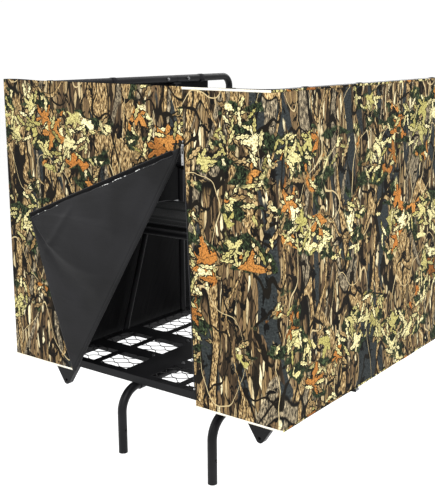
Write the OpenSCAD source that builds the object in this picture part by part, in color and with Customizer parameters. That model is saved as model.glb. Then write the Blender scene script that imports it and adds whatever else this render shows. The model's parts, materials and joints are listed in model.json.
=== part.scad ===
// Camouflage blind hung round the rail of a two-person ladder stand.
// +X is the user's right when facing the tree, +Y points to the tree, +Z is up.
// The origin is the centre of the tree bracket's rear face. Every position below is first
// measured from the blind's front plane and from its hem; on_tree() carries it to the origin.

/* [Blind] */
// Width of the blind along its top edge
blind_w = 1102; // [1090:1:1130]
// Height of the blind
blind_h = 968; // [960:1:990]
// Depth of the side walls
wall_depth = 1140; // [1100:1:1180]
// How far the left end of the hem stands out past the top edge
flare_left = 10; // [0:1:20]
// How far the right end of the hem stands out past the top edge
flare_right = 48; // [20:1:60]
// How much higher the front panel's left top corner is pulled
corner_rise = 14; // [0:1:20]
// Thickness that stands for the coated cloth
cloth_t = 3; // [2:0.5:4]

/* [Door] */
// Height of the zip's upper end above the hem
door_top = 813; // [780:1:830]
// Where the zip's line meets the top edge, from the centre
seam_top_x = 240; // [230:1:250]
// Where the zip's line meets the hem, from the centre
seam_hem_x = 278; // [270:1:290]
// Where the fold of the door meets the hem, from the centre
fold_hem_x = -255; // [-265:1:-245]
// Height of the closed door's free corner above the hem
door_bottom = 60; // [40:5:80]

/* [Rail] */
// Distance between the centre lines of the side rails
rail_w = 1062; // [1058:1:1062]
// Outer diameter of the rail
rail_d = 30; // [28:0.5:30]
// Height of the rail's centre line above the hem
rail_z = 955; // [950:1:956]
// Distance from the front plane to the rear legs
leg_y = 1271; // [1250:1:1290]

/* [Platform] */
// Width over the side tubes
platform_w = 1034; // [1020:1:1034]
// Height of the platform's top face above the hem
platform_z = -40; // [-45:1:-35]
// Distance from the front plane to the platform's front tube
front_tube_y = 180; // [175:1:190]
// Size of the square tubes
square_d = 25; // [24:0.5:26]

/* [Ladder] */
// Distance between the ladder's two tubes
ladder_w = 396; // [380:1:405]
// How far the ladder stands to the right of the centre
ladder_shift = 55; // [40:1:60]
// Outer diameter of the ladder's tubes
ladder_d = 31.8; // [30:0.1:32]
// Lower end of the ladder's tubes above the hem
ladder_end_z = -310; // [-330:1:-290]

/* [Seat] */
// Height of the seat frame's centre line above the hem
seat_z = 440; // [430:1:445]
// Distance from the front plane to the seat's front tube
seat_front_y = 342; // [335:1:350]
// Distance from the front plane to the seat's hinge
seat_back_y = 812; // [800:1:816]
// Width between the seat's side tubes
seat_w = 980; // [970:1:984]

/* [Hidden] */

web_t = 6;
origin_y = leg_y + square_d / 2 + web_t;
origin_z = -55;
tube_wall = 1.5;
black = [0.09, 0.09, 0.095];
cloth_black = [0.17, 0.17, 0.18];
camo = [0.42, 0.36, 0.26];
cream = [0.86, 0.84, 0.76];

// Blind
top_x = blind_w / 2;
hem_left_x = -top_x - flare_left;
hem_right_x = top_x + flare_right;
left_panel_y = 2;
right_panel_y = -6;
band_overlap = 12;
seam_lean = (seam_hem_x - seam_top_x) / blind_h;
seam_angle = atan(seam_lean);
door_top_x = seam_hem_x - door_top * seam_lean;

// Door: the fold runs from the zip's upper end to the hem
fold_end = [fold_hem_x, 0];
fold_dir = unit([door_top_x, door_top] - fold_end);
fold_side = [-fold_dir[1], fold_dir[0]];
fold_gap = 1;
fold_y = -3;
zip_room = 11.5;
door_y = 2 * fold_y - left_panel_y - cloth_t;

// Zip
tape_t = 1.2;
chain_w = 3;
chain_t = 4;
zip_run = door_top - door_bottom;
slider_len = 20;

// Rail and stand
rail_x = rail_w / 2;
rail_front_y = left_panel_y + cloth_t + 3 + rail_d / 2;
rail_joint_y = 895;
rail_bend = 45;
strut_d = 22;
strut_x = platform_w / 2 + strut_d / 2;
strut_low = [540, platform_z - square_d];
strut_top = [897, rail_z - rail_d / 2 - 10.5];
post_x = 505;
post_y = 888;
post_d = 25;
back_bar_z = 598;
pin_r = 5;
plate_t = 2;
panel_edge = 3;
frame_z = platform_z - plate_t - square_d;
rear_beam_y = leg_y;
border = 21;
bar_w = 30;
strip_w = 118;

function lean_x(z) = seam_hem_x - z * seam_lean;
function top_z(x) = blind_h + corner_rise * (top_x - x) / blind_w;
function unit(v) = v / norm(v);
function cross2(a, b) = a[0] * b[1] - a[1] * b[0];
// A point of the front plane, turned over the fold line
function fold_over(p) = let (v = p - fold_end) fold_end + 2 * (v * fold_dir) * fold_dir - v;

// Carries a piece from the blind's own datum to the tree bracket's face
module on_tree() translate([0, -origin_y, -origin_z]) children();

// An outline drawn in X and Z, made t thick from y towards the tree
module upright(y, t) translate([0, y + t, 0]) rotate([90, 0, 0]) linear_extrude(t) children();

// A solid run of round bar through flat points, with rounded corners
module flat_run(pts, d, bend) {
    last = len(pts) - 1;
    function trim(i) = i == 0 || i == last ? 0
        : let (a = unit(pts[i - 1] - pts[i]), b = unit(pts[i + 1] - pts[i]))
          bend / tan(acos(a * b) / 2);
    for (i = [0 : last - 1]) {
        way = unit(pts[i + 1] - pts[i]);
        from = pts[i] + way * trim(i);
        to = pts[i + 1] - way * trim(i + 1);
        translate([from[0], from[1], 0]) rotate([0, 90, atan2(way[1], way[0])])
            cylinder(d = d, h = norm(to - from), $fn = 48);
    }
    if (last > 1) for (i = [1 : last - 1]) {
        a = unit(pts[i - 1] - pts[i]);
        b = unit(pts[i + 1] - pts[i]);
        half = acos(a * b) / 2;
        centre = pts[i] + unit(a + b) * bend / sin(half);
        ends = cross2(a, b) < 0 ? [a, b] : [b, a];
        start = pts[i] + ends[0] * trim(i) - centre;
        translate([centre[0], centre[1], 0]) rotate([0, 0, atan2(start[1], start[0])])
            rotate_extrude(angle = 180 - 2 * half, $fn = 96)
                translate([bend, 0]) circle(d = d, $fn = 48);
    }
}

// The same run as a tube
module flat_tube(pts, d, bend, wall = tube_wall) difference() {
    flat_run(pts, d, bend);
    flat_run(pts, d - 2 * wall, bend);
}

// Flat runs lie in X and Y; this stands them in Y and Z at a given X
module in_side_plane(x) translate([x, 0, 0]) rotate([90, 0, 90]) children();

module tube_between(a, b, d, wall = tube_wall) {
    way = b - a;
    translate(a) rotate([0, acos(way[2] / norm(way)), atan2(way[1], way[0])]) difference() {
        cylinder(d = d, h = norm(way), $fn = 48);
        translate([0, 0, -1]) cylinder(d = d - 2 * wall, h = norm(way) + 2, $fn = 48);
    }
}

module square_tube(size) difference() {
    cube(size);
    long = max(size);
    hollow = [for (s = size) s == long ? s + 2 : s - 2 * tube_wall];
    translate([for (s = size) s == long ? -1 : tube_wall]) cube(hollow);
}

// A bolt's head with the washer under it
module bolt_head(d) {
    cylinder(d = 2.1 * d, h = 1, $fn = 32);
    translate([0, 0, 1]) cylinder(d = 1.7 * d, h = 0.6 * d, $fn = 6);
}

// ---- Stand ----

bracket_w = 240;
bracket_h = 90;
wing_len = 105;
lag_hole_d = 11;
lag_spacing = [160, 62];

module tree_bracket() color(black) on_tree() {
    plate_y = rear_beam_y + square_d / 2;
    translate([0, plate_y, origin_z]) difference() {
        translate([-bracket_w / 2, 0, -bracket_h / 2]) cube([bracket_w, web_t, bracket_h]);
        for (x = [-0.5, 0.5] * lag_spacing[0], z = [-0.5, 0.5] * lag_spacing[1])
            translate([x, -1, z]) rotate([-90, 0, 0])
                cylinder(d = lag_hole_d, h = web_t + 2, $fn = 32);
    }
    for (s = [-1, 1]) translate([s * bracket_w / 2, plate_y, origin_z - bracket_h / 2])
        rotate([0, 0, -s * 35]) translate([s > 0 ? -5 : 0, 0, 0]) {
            cube([5, wing_len, bracket_h]);
            for (z = [0 : 15 : bracket_h - 15]) translate([0, wing_len, z + 1])
                rotate([0, 90, 0]) linear_extrude(5) polygon([[0, 0], [-13, 0], [-6.5, 9]]);
        }
}

module platform_frame() color(black) on_tree() {
    x = platform_w / 2;
    half = square_d / 2;
    translate([-x, front_tube_y - half, frame_z]) square_tube([platform_w, square_d, square_d]);
    translate([-rail_x - 15, rear_beam_y - half, frame_z])
        square_tube([rail_w + 30, square_d, square_d]);
    for (s = [-x, x - square_d]) translate([s, front_tube_y + half, frame_z])
        square_tube([square_d, rear_beam_y - front_tube_y - square_d, square_d]);
}

// Columns and rows of the tread plate's windows, as pairs of edges
left_strip_x = ladder_shift - ladder_w / 2;
right_strip_x = ladder_shift + ladder_w / 2;
function split(a, b) = [[a, (a + b - bar_w) / 2], [(a + b + bar_w) / 2, b]];
window_cols = concat(
    split(-platform_w / 2 + border, left_strip_x - strip_w / 2),
    split(left_strip_x + strip_w / 2, right_strip_x - strip_w / 2),
    split(right_strip_x + strip_w / 2, platform_w / 2 - border));
window_rows = [[200, 330], [397, 530], [608, 930], [998, 1240]];

module tread_plate() color(black) on_tree() {
    half = square_d / 2;
    translate([0, 0, platform_z - plate_t]) difference() {
        translate([-platform_w / 2, front_tube_y - half, 0])
            cube([platform_w, rear_beam_y - front_tube_y + square_d - 28, plate_t]);
        for (col = window_cols, row = window_rows) translate([col[0], row[0], -1])
            cube([col[1] - col[0], row[1] - row[0], plate_t + 2]);
    }
}

// Each window's panel of hexagonal wire mesh, as a thin sheet under the plate
mesh_lap = 4;
mesh_reach = platform_w / 2 - square_d - 0.5;
mesh_t = 1.2;
module mesh_panels() color("dimgray") on_tree()
    for (col = window_cols, row = window_rows) {
        from = max(col[0] - mesh_lap, -mesh_reach);
        translate([from, row[0] - mesh_lap, platform_z - plate_t - mesh_t])
            cube([min(col[1] + mesh_lap, mesh_reach) - from, row[1] - row[0] + 2 * mesh_lap,
                mesh_t]);
    }

// Square tubes under the solid strips between the rows of windows
cross_y = [363.5, 569, 964];
module cross_tubes() color(black) on_tree() {
    inner = platform_w / 2 - square_d;
    for (y = cross_y) translate([-inner, y - square_d / 2, frame_z])
        square_tube([2 * inner, square_d, square_d - mesh_t - 0.5]);
}

ladder_y = 110;
ladder_bend = 80;
ladder_run_z = frame_z - ladder_d / 2;
cross_hole_z = -225;
cross_hole_d = 8;

module ladder_tube(x) color(black) on_tree() difference() {
    in_side_plane(x) flat_tube([[450, ladder_run_z], [ladder_y, ladder_run_z],
        [ladder_y, ladder_end_z]], ladder_d, ladder_bend, 1.6);
    translate([x - ladder_d, ladder_y, cross_hole_z]) rotate([0, 90, 0])
        cylinder(d = cross_hole_d, h = 2 * ladder_d, $fn = 32);
}
module ladder_tube_left() ladder_tube(left_strip_x);
module ladder_tube_right() ladder_tube(right_strip_x);

// Saddles that clamp each ladder tube up against the platform
module ladder_saddles() color(black) on_tree()
    for (x = [left_strip_x, right_strip_x], y = [210, 410]) translate([x, y, ladder_run_z])
        rotate([90, 0, 0]) linear_extrude(26, center = true) difference() {
            union() {
                circle(d = ladder_d + 6.4, $fn = 64);
                translate([-32, ladder_d / 2 - 3, 0]) square([64, 3]);
            }
            circle(d = ladder_d + 0.2, $fn = 64);
            translate([-40, ladder_d / 2]) square([80, 20]);
        }

brace_tip = -152;
brace_t = 22;
brace_hole_d = 11;
module brace_bracket(x) color(black) on_tree() difference() {
    upright(front_tube_y - brace_t / 2, brace_t) hull() {
        translate([x - 60, frame_z - 6]) square([120, 6]);
        translate([x, brace_tip + 15]) circle(r = 15, $fn = 48);
    }
    translate([x, 0, brace_tip + 17]) rotate([-90, 0, 0])
        cylinder(d = brace_hole_d, h = 400, $fn = 32);
    upright(front_tube_y - brace_t / 2 + 4, brace_t)
        polygon([[x - 46, frame_z + 1], [x + 46, frame_z + 1], [x + 20, frame_z - 34],
                 [x - 20, frame_z - 34]]);
}
brace_left_x = -482;
brace_right_x = 398;
module brace_bracket_left() brace_bracket(brace_left_x);
module brace_bracket_right() brace_bracket(brace_right_x);

// Carriage bolts whose heads show on the solid strips
module platform_bolts() color("gray") on_tree()
    for (x = [left_strip_x - 75, left_strip_x + 70, right_strip_x - 40], y = cross_y)
        translate([x, y, platform_z]) bolt_head(6);

module strut(x) color(black) on_tree()
    tube_between([x, strut_low[0], strut_low[1]], [x, strut_top[0], strut_top[1]], strut_d);
module strut_left() strut(-strut_x);
module strut_right() strut(strut_x);

module strut_bolts() color("gray") on_tree() for (s = [-1, 1])
    translate([s * (strut_x + strut_d / 2), strut_low[0] + 6, frame_z + square_d / 2])
        rotate([0, s * 90, 0]) bolt_head(7);

module rail_front() color(black) on_tree() translate([0, 0, rail_z])
    flat_tube([[-rail_x, rail_joint_y - 1], [-rail_x, rail_front_y], [rail_x, rail_front_y],
        [rail_x, rail_joint_y - 1]], rail_d, rail_bend);

module rail_rear(x) color(black) on_tree() in_side_plane(x)
    flat_tube([[rail_joint_y + 1, rail_z], [leg_y, rail_z],
        [leg_y, frame_z + square_d]], rail_d, rail_bend);
module rail_rear_left() rail_rear(-rail_x);
module rail_rear_right() rail_rear(rail_x);

// Inner sleeves that join the front and rear rails, with a saddle for the strut below
sleeve_len = 160;
module rail_sleeves() color(black) on_tree() for (x = [-rail_x, rail_x]) {
    translate([x, rail_joint_y - sleeve_len / 2, rail_z]) rotate([-90, 0, 0]) difference() {
        cylinder(d = rail_d - 2 * tube_wall - 0.1, h = sleeve_len, $fn = 48);
        translate([0, 0, -1])
            cylinder(d = rail_d - 4 * tube_wall, h = sleeve_len + 2, $fn = 48);
    }
    translate([x - 11, rail_joint_y - 24, rail_z - rail_d / 2 - 6])
        cube([22, 48, 6]);
}

rail_bolt_y = [830, 960];
module rail_bolts() color("gray") on_tree()
    for (s = [-1, 1], y = rail_bolt_y) {
        translate([s * (rail_x - rail_d / 2), y, rail_z]) rotate([0, -s * 90, 0]) {
            cylinder(d = 13, h = 5, $fn = 6);
            translate([0, 0, 5]) cylinder(d = 7, h = 3, $fn = 24);
        }
    }

module rear_post(x) color(black) on_tree()
    tube_between([x, post_y, platform_z], [x, post_y, back_bar_z - back_bar_d / 2], post_d);
module rear_post_left() rear_post(-post_x);
module rear_post_right() rear_post(post_x);

back_bar_d = 26;
module back_bar() color(black) on_tree()
    tube_between([-post_x - 14, post_y, back_bar_z], [post_x + 14, post_y, back_bar_z],
        back_bar_d);

back_pad_d = 46;
back_pad_reach = post_x - post_d / 2 - 1;
module back_pad() color([0.2, 0.2, 0.2]) on_tree()
    tube_between([-back_pad_reach, post_y, back_bar_z], [back_pad_reach, post_y, back_bar_z],
        back_pad_d, (back_pad_d - back_bar_d) / 2 - 0.2);

// Lugs on the posts that carry the seat's hinge pins
module seat_pins() color("gray") on_tree() for (s = [-1, 1]) {
    translate([s * (post_x + 1), seat_back_y, seat_z]) rotate([0, -s * 90, 0])
        cylinder(r = pin_r, h = 30, $fn = 48);
    translate([s * (post_x + 3) - 3, seat_back_y - 10, seat_z - 12])
        cube([6, post_y - seat_back_y - post_d / 2 + 10, 24]);
}

// Pegs on the struts under the seat's side tubes
seat_d = 25;
pad_t = 2.5;
peg_d = 10;
peg_z = seat_z - seat_d / 2 - pad_t - peg_d / 2 - 0.3;
rest_y = strut_low[0] + (strut_top[0] - strut_low[0]) * (peg_z - strut_low[1])
    / (strut_top[1] - strut_low[1]);
module seat_rests() color(black) on_tree() for (s = [-1, 1])
    translate([s * (strut_x - strut_d / 2), rest_y, peg_z])
        rotate([0, -s * 90, 0]) cylinder(d = peg_d, h = 50, $fn = 32);

seat_bend = 40;
module seat_frame() color(black) on_tree() difference() {
    x = seat_w / 2;
    lug = 16;
    translate([0, 0, seat_z]) union() {
        flat_run([[-x, seat_back_y - 14], [-x, seat_front_y], [x, seat_front_y],
            [x, seat_back_y - 14]], seat_d, seat_bend);
        for (s = [-1, 1]) translate([s * x - lug / 2, seat_back_y - 16, -11]) cube([lug, 28, 22]);
    }
    translate([0, 0, seat_z]) flat_run([[-x, seat_back_y - 18], [-x, seat_front_y],
        [x, seat_front_y], [x, seat_back_y - 18]], seat_d - 2 * tube_wall, seat_bend);
    for (s = [-1, 1]) translate([s * x - 20, seat_back_y, seat_z]) rotate([0, 90, 0])
        cylinder(r = pin_r + 0.08, h = 40, $fn = 48);
}

slat_count = 5;
slat_w = 28;
slat_t = 4;
slat_pitch = (seat_back_y - seat_front_y - 60) / slat_count;
module seat_slats() color(black) on_tree() for (i = [1 : slat_count])
    translate([-seat_w / 2 + 13, seat_front_y + i * slat_pitch - slat_w / 2, seat_z])
        cube([seat_w - 26, slat_w, slat_t]);

cushion_t = 34;
cushion_front = 14;
cushion_back = 46;
corner_cut = 24;
module seat_cushion() color([0.25, 0.26, 0.26]) on_tree()
    translate([0, 0, seat_z + slat_t]) linear_extrude(cushion_t) {
        x = seat_w / 2 - 14;
        front = seat_front_y + cushion_front;
        back = seat_back_y - cushion_back;
        polygon([[-x, back], [-x, front + corner_cut], [corner_cut - x, front],
            [x - corner_cut, front], [x, front + corner_cut], [x, back]]);
    }

// Plastic saddles under the side tubes, where the pegs carry them
module seat_rest_pads() color("black") on_tree() for (s = [-1, 1])
    translate([s * seat_w / 2, rest_y, seat_z]) rotate([90, 0, 0])
        linear_extrude(60, center = true) difference() {
            circle(d = seat_d + 2 * pad_t, $fn = 64);
            circle(d = seat_d + 0.1, $fn = 64);
            translate([-20, 0]) square([40, 20]);
        }

// ---- Blind ----

// The left wall hangs down to the platform behind its front corner
left_wall_top = rail_z + 1;
left_drop = 62;
left_drop_y = 150;
module left_wall() color(camo) on_tree() difference() {
    low_x = hem_left_x - flare_left * left_drop / left_wall_top;
    front = left_panel_y + cloth_t;
    upright(front, wall_depth - front)
        polygon([[-top_x, left_wall_top], [-top_x + cloth_t, left_wall_top],
            [low_x + cloth_t, -left_drop], [low_x, -left_drop]]);
    in_side_plane(low_x - 10) linear_extrude(40)
        polygon([[front - 10, 0], [front, 0], [left_drop_y, -left_drop],
            [left_drop_y, -left_drop - 10], [front - 10, -left_drop - 10]]);
}

module right_wall() color(camo) on_tree()
    upright(right_panel_y + cloth_t, wall_depth - right_panel_y - cloth_t)
        polygon([[top_x - cloth_t, blind_h], [top_x, blind_h],
            [hem_right_x, 0], [hem_right_x - cloth_t, 0]]);

module front_left_panel() color(camo) on_tree() {
    inset = fold_side * fold_gap;
    upright(left_panel_y, cloth_t) polygon([
        [-top_x, top_z(-top_x)],
        [lean_x(blind_h) + band_overlap, top_z(lean_x(blind_h) + band_overlap)],
        [lean_x(door_top) + band_overlap, door_top + 12],
        [door_top_x + inset[0], door_top + inset[1] + 2],
        [fold_hem_x + inset[0], 0], [hem_left_x, 0]]);
}

module front_right_panel() color(camo) on_tree()
    upright(right_panel_y, cloth_t) polygon([
        [lean_x(blind_h) + panel_edge, blind_h + 3], [top_x, blind_h],
        [hem_right_x, 0], [lean_x(0) + panel_edge, 0]]);

trim_h = 6;
trim_t = 0.9;
module top_trim() color(cream) on_tree() {
    upright(right_panel_y - trim_t, trim_t) polygon([
        [lean_x(blind_h) + panel_edge, blind_h + 3 - trim_h],
        [lean_x(blind_h) + panel_edge, blind_h + 3],
        [top_x, blind_h], [top_x, blind_h - trim_h]]);
    translate([top_x - cloth_t, right_panel_y + cloth_t, blind_h])
        cube([cloth_t, wall_depth - right_panel_y - cloth_t, trim_t]);
}

module hem_trim() color(cream) on_tree() {
    upright(left_panel_y - trim_t, trim_t)
        translate([hem_left_x, 0]) square([fold_hem_x - hem_left_x - 12, trim_h]);
    upright(right_panel_y - trim_t, trim_t)
        translate([lean_x(0) + panel_edge, 0])
            square([hem_right_x - lean_x(0) - panel_edge - 1, trim_h]);
    translate([hem_right_x, right_panel_y + cloth_t, 0])
        cube([trim_t, wall_depth - right_panel_y - cloth_t, trim_h]);
}

// Hook-and-loop ties that hold the blind's top edge to the rail
tie_w = 25;
tie_t = 1;
module tie() rotate([90, 0, 0]) difference() {
    cylinder(d = rail_d + 2 * tie_t + 0.4, h = tie_w, center = true, $fn = 48);
    cylinder(d = rail_d + 0.4, h = tie_w + 2, center = true, $fn = 48);
}
front_tie_x = [-400, -180, 120, 400];
side_tie_y = [200, 520, 1060];
module rail_ties() color(cloth_black) on_tree() translate([0, 0, rail_z]) {
    for (x = front_tie_x) translate([x, rail_front_y, 0]) rotate([0, 0, 90]) tie();
    for (s = [-1, 1], y = side_tie_y) translate([s * rail_x, y, 0]) tie();
}

// The zip's line: origin at its upper end, +X towards the right panel, -Z down the line
module on_zip() translate([door_top_x, 0, door_top]) rotate([0, -seam_angle, 0]) children();

zip_y = right_panel_y + cloth_t;
chain_y = zip_y - chain_t / 2 + tape_t / 2;
module frame_zip_tape() color("black") on_tree() on_zip()
    translate([-1.5, zip_y, -zip_run]) cube([16, tape_t, zip_run]);

module frame_zip_chain() color("dimgray") on_tree() on_zip()
    translate([-1.5 - chain_w, chain_y, -zip_run]) cube([chain_w, chain_t, zip_run]);

module zip_stops() color("silver") on_tree() on_zip()
    for (z = [0, -zip_run - 5]) translate([-1.5 - chain_w - 0.5, chain_y, z])
        cube([chain_w + 1, chain_t, 5]);

// The open door is the closed one folded over; its free edge keeps clear of the slider
door_edge_x = lean_x(door_bottom) - zip_room;
door_start = door_top - zip_room / (fold_dir[0] / fold_dir[1] + seam_lean);
door_corner = fold_over([door_edge_x, door_bottom]);
door_apex = fold_over([lean_x(door_start) - zip_room, door_start]);
door_edge = door_corner - door_apex;
apex_cut = 30;
apex_along = ([door_top_x, door_top] - door_apex) * fold_dir;
door_tip = door_apex + door_edge * (apex_cut - apex_along) / -(door_edge * fold_dir);
module door_flap() color(cloth_black) on_tree() upright(door_y, cloth_t) polygon([
    door_tip, [door_top_x, door_top] - fold_dir * apex_cut + fold_side * fold_gap,
    fold_end + fold_side * fold_gap + [0, 0.5], door_corner]);

// The roll of cloth at the fold, which the door turns about
fold_roll_r = 4.2;
module door_fold_roll() color(cloth_black) on_tree() {
    foot = fold_end + fold_dir * 8;
    translate([foot[0], fold_y, foot[1]]) rotate([0, atan2(fold_dir[0], fold_dir[1]), 0])
        cylinder(r = fold_roll_r, h = norm([door_top_x, door_top] - foot) - apex_cut, $fn = 48);
}

// The door's free edge: origin at its upper end, +X along the edge, +Z away from the door
module on_door_edge() translate([door_apex[0], 0, door_apex[1]])
    rotate([0, -atan2(door_edge[1], door_edge[0]), 0]) mirror([0, 0, 1]) children();
tape_inset = 26;
module door_zip_tape() color("black") on_tree() on_door_edge()
    translate([tape_inset, door_y - tape_t, -14])
        cube([norm(door_edge) - tape_inset - 8, tape_t, 13.5]);
module door_zip_chain() color("dimgray") on_tree() on_door_edge()
    translate([tape_inset, door_y, 0.1])
        cube([norm(door_edge) - tape_inset - 8, cloth_t, chain_w]);

// Slider round the right half of the chain, parked at the top
slider_top = -6;
slider_w = 9;
slider_gap = 0.6;
slider_wall = 1.4;
module zip_slider() color("silver") on_tree() on_zip() {
    left = -1.5 - chain_w - slider_gap;
    front = chain_y - slider_gap;
    back = chain_y + chain_t + slider_gap;
    translate([left - 2, front - slider_wall, slider_top - slider_len]) {
        cube([slider_w, slider_wall, slider_len]);
        translate([0, back - front + slider_wall, 0]) cube([slider_w, 0.9, slider_len]);
        cube([2, back - front + 2, slider_len]);
    }
    for (z = [0, 8]) translate([left + 1, front - 4.9, slider_top - slider_len + 5 + z])
        cube([3, 3.6, 2.2]);
    translate([left + 1, front - 6.3, slider_top - slider_len + 5]) cube([3, 1.5, 10.2]);
}

// Pull tab that hangs from the slider's bridge
pull_z = slider_top - slider_len + 11;
pull_y = chain_y - slider_gap - 3.2;
module zip_pull() color("silver") on_tree() on_zip() {
    mid = -1.5 - chain_w - slider_gap + 2.5;
    translate([mid, pull_y, pull_z]) {
        rotate([0, 90, 0]) cylinder(r = 0.8, h = 9, center = true, $fn = 24);
        for (s = [-1, 1]) translate([s * 3.7 - 0.8, -0.8, -20]) cube([1.6, 1.6, 20.4]);
        translate([-4.5, -0.9, -52]) difference() {
            cube([9, 1.8, 33]);
            translate([4.5, -1, 6]) rotate([-90, 0, 0]) cylinder(d = 3.4, h = 5, $fn = 24);
        }
    }
}

tree_bracket();
platform_frame();
tread_plate();
mesh_panels();
cross_tubes();
ladder_tube_left();
ladder_tube_right();
ladder_saddles();
brace_bracket_left();
brace_bracket_right();
platform_bolts();
strut_left();
strut_right();
strut_bolts();
rail_front();
rail_rear_left();
rail_rear_right();
rail_sleeves();
rail_bolts();
rear_post_left();
rear_post_right();
back_bar();
back_pad();
seat_pins();
seat_rests();
seat_frame();
seat_slats();
seat_cushion();
seat_rest_pads();
left_wall();
right_wall();
front_left_panel();
front_right_panel();
top_trim();
hem_trim();
rail_ties();
frame_zip_tape();
frame_zip_chain();
zip_stops();
door_fold_roll();
door_flap();
door_zip_tape();
door_zip_chain();
zip_slider();
zip_pull();
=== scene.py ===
import json
import math
import random

import bpy
from mathutils import Matrix, Vector, noise


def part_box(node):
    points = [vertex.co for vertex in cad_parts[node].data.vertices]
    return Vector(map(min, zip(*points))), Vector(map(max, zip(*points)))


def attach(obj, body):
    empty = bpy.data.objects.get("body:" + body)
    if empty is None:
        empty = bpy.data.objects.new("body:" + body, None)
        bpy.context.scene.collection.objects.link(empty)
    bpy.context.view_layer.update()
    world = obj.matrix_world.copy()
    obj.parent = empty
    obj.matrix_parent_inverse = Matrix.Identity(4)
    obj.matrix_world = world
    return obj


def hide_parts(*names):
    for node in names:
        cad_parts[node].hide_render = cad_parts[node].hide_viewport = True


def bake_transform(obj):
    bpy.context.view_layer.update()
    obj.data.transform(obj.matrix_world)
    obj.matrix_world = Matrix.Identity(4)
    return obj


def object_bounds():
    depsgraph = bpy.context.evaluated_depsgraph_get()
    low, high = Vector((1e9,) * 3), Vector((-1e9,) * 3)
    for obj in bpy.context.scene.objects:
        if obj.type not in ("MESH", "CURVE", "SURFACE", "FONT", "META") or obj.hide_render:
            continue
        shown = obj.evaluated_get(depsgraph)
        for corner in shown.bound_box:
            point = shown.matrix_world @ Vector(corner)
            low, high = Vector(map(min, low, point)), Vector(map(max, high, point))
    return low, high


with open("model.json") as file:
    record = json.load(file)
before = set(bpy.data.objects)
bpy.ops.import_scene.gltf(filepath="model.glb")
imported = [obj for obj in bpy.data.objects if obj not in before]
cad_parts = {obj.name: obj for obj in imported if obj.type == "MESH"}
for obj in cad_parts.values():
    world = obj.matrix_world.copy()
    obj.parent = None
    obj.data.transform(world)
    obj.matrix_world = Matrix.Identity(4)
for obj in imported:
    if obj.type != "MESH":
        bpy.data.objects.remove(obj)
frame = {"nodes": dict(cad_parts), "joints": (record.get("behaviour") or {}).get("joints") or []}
cad_lo, cad_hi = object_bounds()
nodes = frame["nodes"]
joints = {j["name"]: j for j in frame["joints"]}

# ---------------------------------------------------------------- camera
LENS_MM = 65.45
CAMERA_AT = Vector((1.9098, -3.3185, 1.1383))
AZIMUTH, ELEVATION, ROLL = math.radians(37.182), math.radians(12.328), math.radians(-0.401)
SHIFT_X, SHIFT_Y = -0.0034, -0.0081


def make_camera():
    data = bpy.data.cameras.new("camera")
    data.lens, data.sensor_width = LENS_MM, 36
    data.shift_x, data.shift_y = SHIFT_X, SHIFT_Y
    data.clip_start, data.clip_end = 0.05, 60
    cam = bpy.data.objects.new("camera", data)
    bpy.context.scene.collection.objects.link(cam)
    a, e = AZIMUTH, ELEVATION
    back = Vector((math.sin(a) * math.cos(e), -math.cos(a) * math.cos(e), math.sin(e)))
    right = (-back).cross(Vector((0, 0, 1))).normalized()
    up = right.cross(-back)
    c, s = math.cos(ROLL), math.sin(ROLL)
    r2, u2 = c * right + s * up, -s * right + c * up
    turn = Matrix((r2, u2, back)).transposed()
    cam.matrix_world = Matrix.Translation(CAMERA_AT) @ turn.to_4x4()
    bpy.context.scene.camera = cam


make_camera()


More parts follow.
